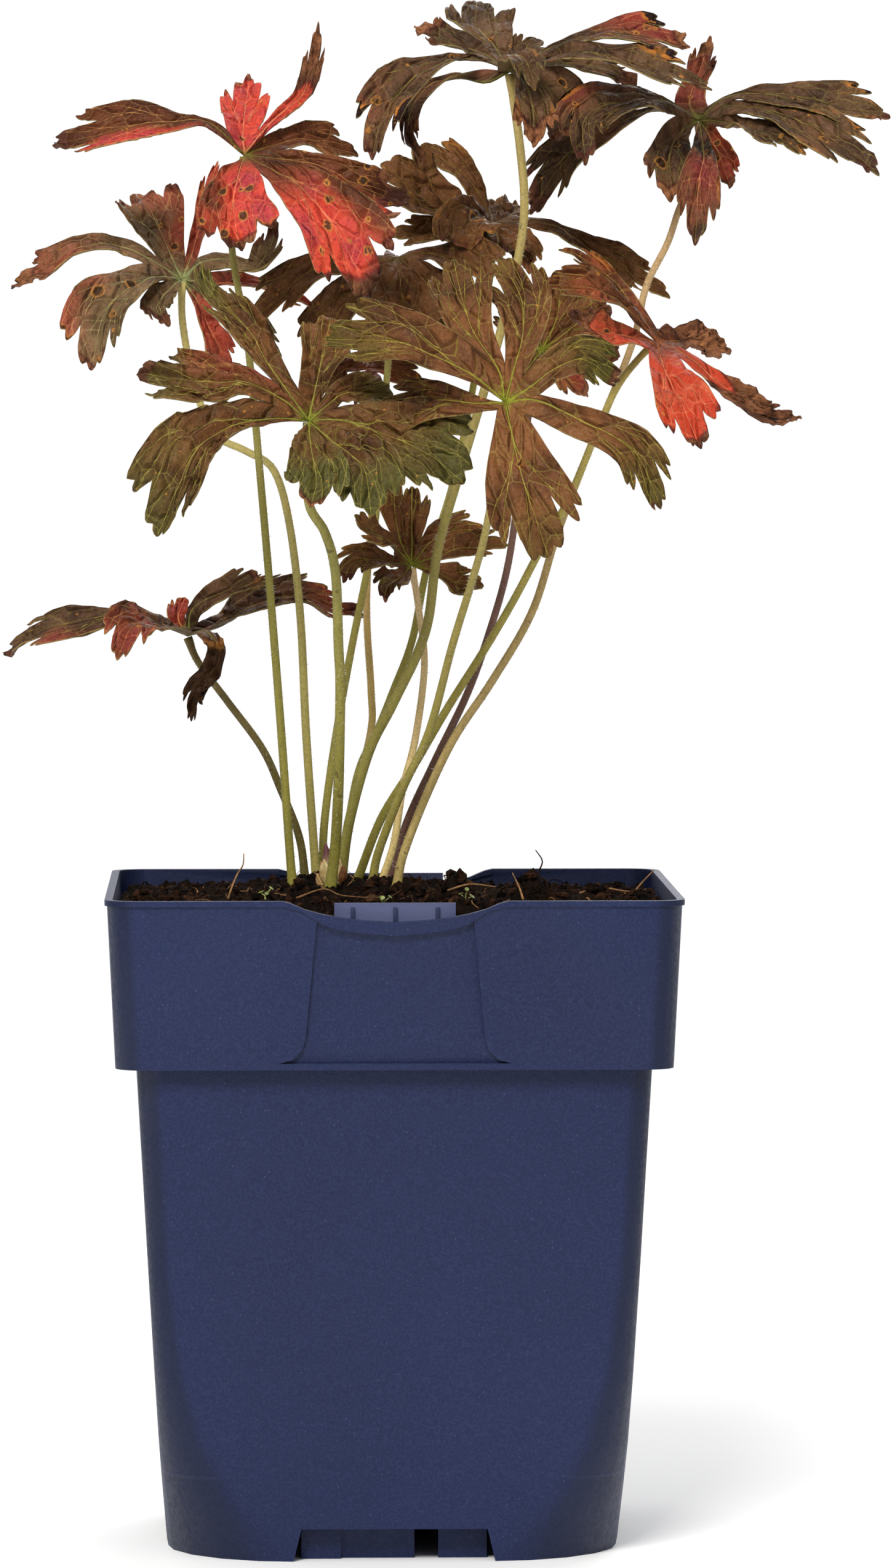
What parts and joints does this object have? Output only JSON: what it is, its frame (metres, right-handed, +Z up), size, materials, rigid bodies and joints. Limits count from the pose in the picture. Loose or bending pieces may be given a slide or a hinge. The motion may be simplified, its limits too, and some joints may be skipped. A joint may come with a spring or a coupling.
{
  "type": "potted hardy geranium",
  "caption": "Hardy geranium in autumn colour, palmate toothed leaves on long thin stalks, standing in compost in a deep square nursery pot.",
  "frame": {"origin": "centre of the pot's foot, on the surface that the pot stands on", "axes": "+Z up along the pot's axis, +X to the right along the scooped front, +Y away from the viewer"},
  "size_m": [0.2046, 0.1411, 0.3547],
  "materials": {
    "pot_plastic": "matte navy blue, finely speckled polypropylene",
    "compost": "dark, damp, fibrous peat compost",
    "crown_scale": "dry papery scales and a dark bud",
    "stalk_green": "thin, softly hairy yellow-green stalk",
    "stalk_tan": "thin, softly hairy tan to purple-brown stalk",
    "leaf_olive": "soft olive-brown blade with yellow-green veins",
    "leaf_red": "autumn red and orange blade, dried at its tips"
  },
  "bodies": {
    "root": {"pot": "pot_plastic", "soil": "compost", "crown": "crown_scale", "stalk_a": "stalk_green", "stalk_b": "stalk_green", "stalk_c": "stalk_green", "stalk_d": "stalk_tan", "stalk_e": "stalk_green", "stalk_f": "stalk_green", "stalk_g": "stalk_green", "stalk_h": "stalk_tan", "stalk_i": "stalk_green", "stalk_j": "stalk_tan", "stalk_k": "stalk_green", "stalk_l": "stalk_tan", "stalk_n": "stalk_tan", "blade_a": "leaf_red", "blade_b": "leaf_olive", "blade_c": "leaf_olive", "blade_d": "leaf_olive", "blade_e": "leaf_olive", "blade_f": "leaf_olive", "blade_g": "leaf_olive", "blade_h": "leaf_olive", "blade_i": "leaf_olive", "blade_j": "leaf_olive", "blade_k": "leaf_red", "blade_l": "leaf_olive", "blade_n": "leaf_olive"}
  },
  "joints": []
}
